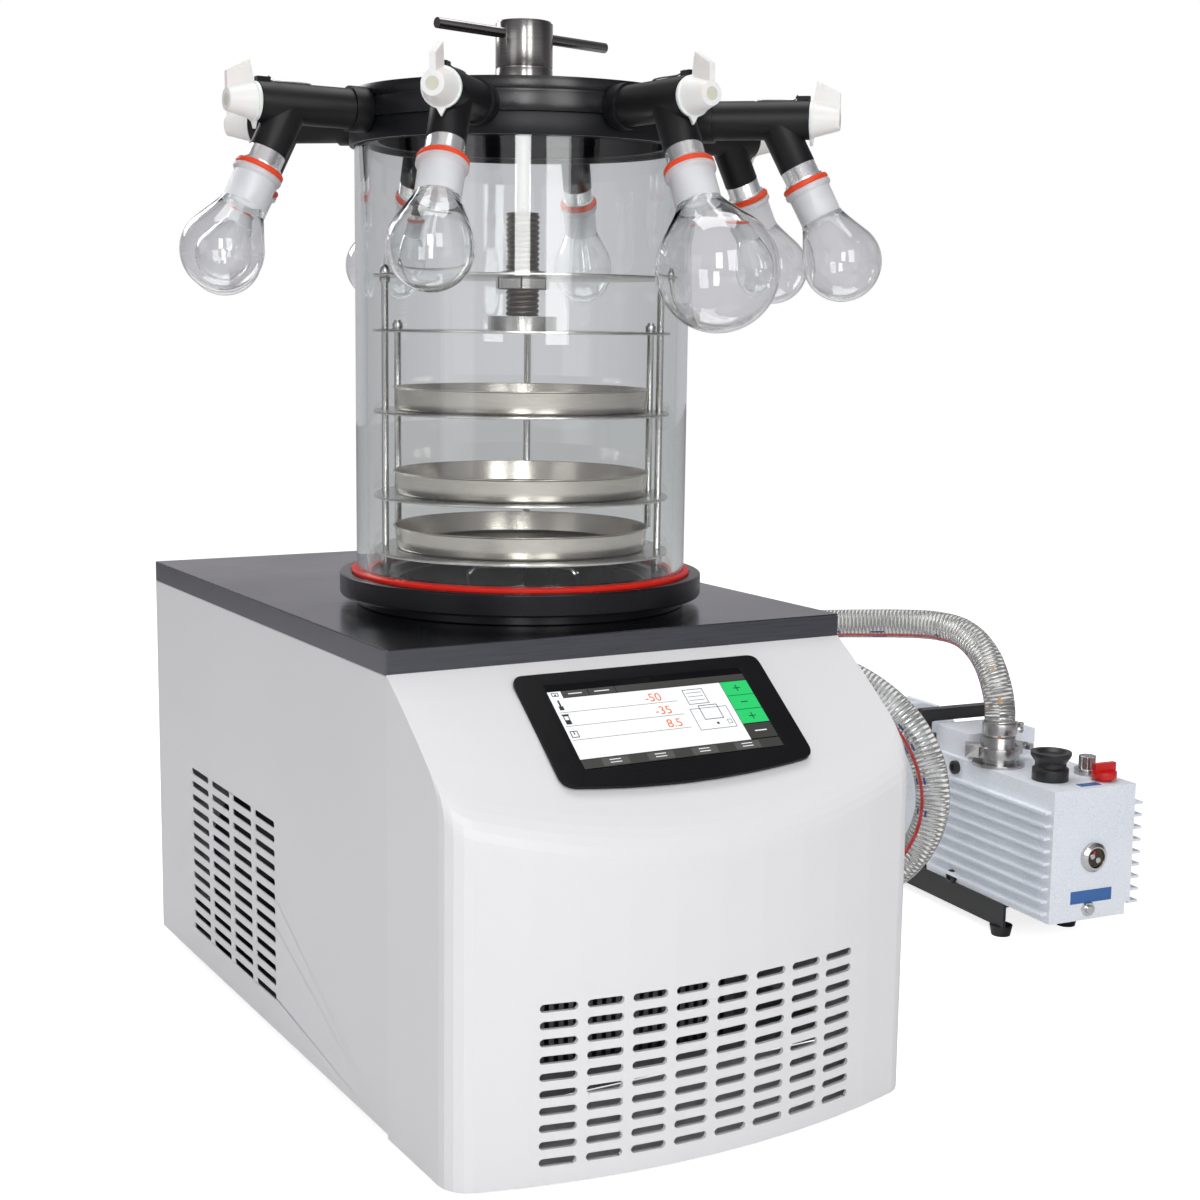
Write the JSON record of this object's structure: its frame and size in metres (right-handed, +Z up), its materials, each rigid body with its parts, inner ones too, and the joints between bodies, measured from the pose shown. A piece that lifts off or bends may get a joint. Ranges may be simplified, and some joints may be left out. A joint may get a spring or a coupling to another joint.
{
  "type": "laboratory freeze dryer",
  "caption": "Benchtop freeze dryer with a cold trap cabinet, clear stoppering chamber, flask manifold and a vacuum pump on a ribbed clear hose.",
  "frame": {"origin": "on the drying chamber's vertical axis, at the floor plane under the feet", "axes": "+Z up along the chamber axis, -Y towards the sloping display front, +X to the side where the pump stands"},
  "size_m": [0.9305, 0.8973, 0.805],
  "materials": {
    "white_sheet": "smooth white powder coat",
    "base_steel": "grey coat",
    "cover_steel": "brushed",
    "front_moulding": "white, slightly glossy",
    "bezel_black": "black gloss",
    "screen": "lit display",
    "black_rubber": "matt",
    "trap_black": "satin",
    "coil_steel": "bright",
    "compressor_black": "gloss black",
    "condenser_metal": "plain",
    "fan_metal": "plain",
    "steel": "turned and polished",
    "screw_steel": "oiled thread",
    "silicone_red": "smooth",
    "acrylic": "clear with green edges",
    "lid_black": "gloss black",
    "knob_plastic": "milky",
    "adapter_alu": "turned",
    "flask_glass": "clear, ground neck",
    "pump_paint": "light blue-grey coat",
    "pump_black": "satin black",
    "cap_black": "black",
    "cap_red": "red",
    "bright_steel": "bright",
    "clear_pvc": "clear with a wire helix"
  },
  "bodies": {
    "cabinet": {"base_pan": "base_steel", "unit_feet": "black_rubber", "side_panel_left": "white_sheet", "side_panel_right": "white_sheet", "rear_panel": "white_sheet", "top_cover": "cover_steel", "front_panel": "front_moulding", "screen_bezel": "bezel_black", "touch_screen": "screen", "cold_trap": "trap_black", "evaporator_coil": "coil_steel", "compressor": "compressor_black", "condenser": "condenser_metal", "vacuum_port": "bright_steel", "base_ring": "trap_black", "base_gasket": "silicone_red", "chamber_cylinder": "acrylic", "lid_seal": "black_rubber", "manifold_lid": "lid_black", "nut_plate": "steel", "shelf_lower": "steel", "tray_lower": "steel", "rack_rods": "steel", "valve_bodies": "black_rubber", "flask_adapters": "adapter_alu", "neck_rings": "silicone_red", "flask_1": "flask_glass", "flask_2": "flask_glass", "flask_3": "flask_glass", "flask_4": "flask_glass", "flask_5": "flask_glass", "flask_6": "flask_glass", "flask_7": "flask_glass", "flask_8": "flask_glass", "pump_case": "pump_paint", "pump_motor": "pump_paint", "pump_base": "pump_black", "pump_handle": "pump_black", "inlet_fitting": "bright_steel", "exhaust_cap": "cap_black", "oil_fittings": "bright_steel", "hose_clamp": "bright_steel", "vacuum_hose": "clear_pvc"},
    "fan": {"fan_blade": "fan_metal"},
    "handle": {"spindle_handle": "steel"},
    "screw": {"press_screw": "screw_steel"},
    "press": {"press_plate": "steel"},
    "upper_shelf": {"shelf_upper": "steel", "tray_upper": "steel"},
    "middle_shelf": {"shelf_middle": "steel", "tray_middle": "steel"},
    "valve_1": {"valve_knob_1": "knob_plastic"},
    "valve_2": {"valve_knob_2": "knob_plastic"},
    "valve_3": {"valve_knob_3": "knob_plastic"},
    "valve_4": {"valve_knob_4": "knob_plastic"},
    "valve_5": {"valve_knob_5": "knob_plastic"},
    "valve_6": {"valve_knob_6": "knob_plastic"},
    "valve_7": {"valve_knob_7": "knob_plastic"},
    "valve_8": {"valve_knob_8": "knob_plastic"},
    "filler_cap": {"oil_cap": "cap_red"}
  },
  "joints": [
    {"name": "handle_turn", "type": "hinge", "parent": "cabinet", "child": "handle", "pos_m": [0, 0, 0.749], "axis": [0, 0, 1], "range_deg": [-2700, 0]},
    {"name": "press_travel", "type": "slide", "parent": "cabinet", "child": "press", "axis": [0, 0, 1], "range_m": [-0.0301, 0]},
    {"name": "screw_turn", "type": "hinge", "parent": "press", "child": "screw", "pos_m": [0, 0, 0.582], "axis": [0, 0, 1], "range_deg": [-2701, 0]},
    {"name": "upper_shelf_travel", "type": "slide", "parent": "cabinet", "child": "upper_shelf", "axis": [0, 0, 1], "range_m": [-0.0201, 0]},
    {"name": "middle_shelf_travel", "type": "slide", "parent": "cabinet", "child": "middle_shelf", "axis": [0, 0, 1], "range_m": [-0.0101, 0]},
    {"name": "fan_spin", "type": "hinge", "parent": "cabinet", "child": "fan", "pos_m": [0, -0.086, 0.07], "axis": [0, 1, 0], "continuous": true},
    {"name": "filler_cap_turn", "type": "hinge", "parent": "cabinet", "child": "filler_cap", "pos_m": [0.58173, -0.07035, 0.159], "axis": [0, 0, 1], "range_deg": [0, 360]},
    {"name": "valve_1_turn", "type": "hinge", "parent": "cabinet", "child": "valve_1", "pos_m": [0.16501, -0.14702, 0.73], "axis": [0.7466, -0.6652, 0], "range_deg": [0, 180]},
    {"name": "valve_2_turn", "type": "hinge", "parent": "cabinet", "child": "valve_2", "pos_m": [0.22063, 0.01272, 0.73], "axis": [0.9983, 0.0576, 0], "range_deg": [0, 180]},
    {"name": "valve_3_turn", "type": "hinge", "parent": "cabinet", "child": "valve_3", "pos_m": [0.14702, 0.16501, 0.73], "axis": [0.6652, 0.7466, 0], "range_deg": [0, 180]},
    {"name": "valve_4_turn", "type": "hinge", "parent": "cabinet", "child": "valve_4", "pos_m": [-0.01272, 0.22063, 0.73], "axis": [-0.0576, 0.9983, 0], "range_deg": [0, 180]},
    {"name": "valve_5_turn", "type": "hinge", "parent": "cabinet", "child": "valve_5", "pos_m": [-0.16501, 0.14702, 0.73], "axis": [-0.7466, 0.6652, 0], "range_deg": [0, 180]},
    {"name": "valve_6_turn", "type": "hinge", "parent": "cabinet", "child": "valve_6", "pos_m": [-0.22063, -0.01272, 0.73], "axis": [-0.9983, -0.0576, 0], "range_deg": [0, 180]},
    {"name": "valve_7_turn", "type": "hinge", "parent": "cabinet", "child": "valve_7", "pos_m": [-0.14702, -0.16501, 0.73], "axis": [-0.6652, -0.7466, 0], "range_deg": [0, 180]},
    {"name": "valve_8_turn", "type": "hinge", "parent": "cabinet", "child": "valve_8", "pos_m": [0.01272, -0.22063, 0.73], "axis": [0.0576, -0.9983, 0], "range_deg": [0, 180]}
  ],
  "couplings": [
    {"joint": "press_travel", "follows": "handle_turn", "m_per_rad": 0.00063662},
    {"joint": "screw_turn", "follows": "handle_turn", "ratio": 1},
    {"joint": "upper_shelf_travel", "follows": "handle_turn", "m_per_rad": 0.00042441},
    {"joint": "middle_shelf_travel", "follows": "handle_turn", "m_per_rad": 0.00021221}
  ]
}
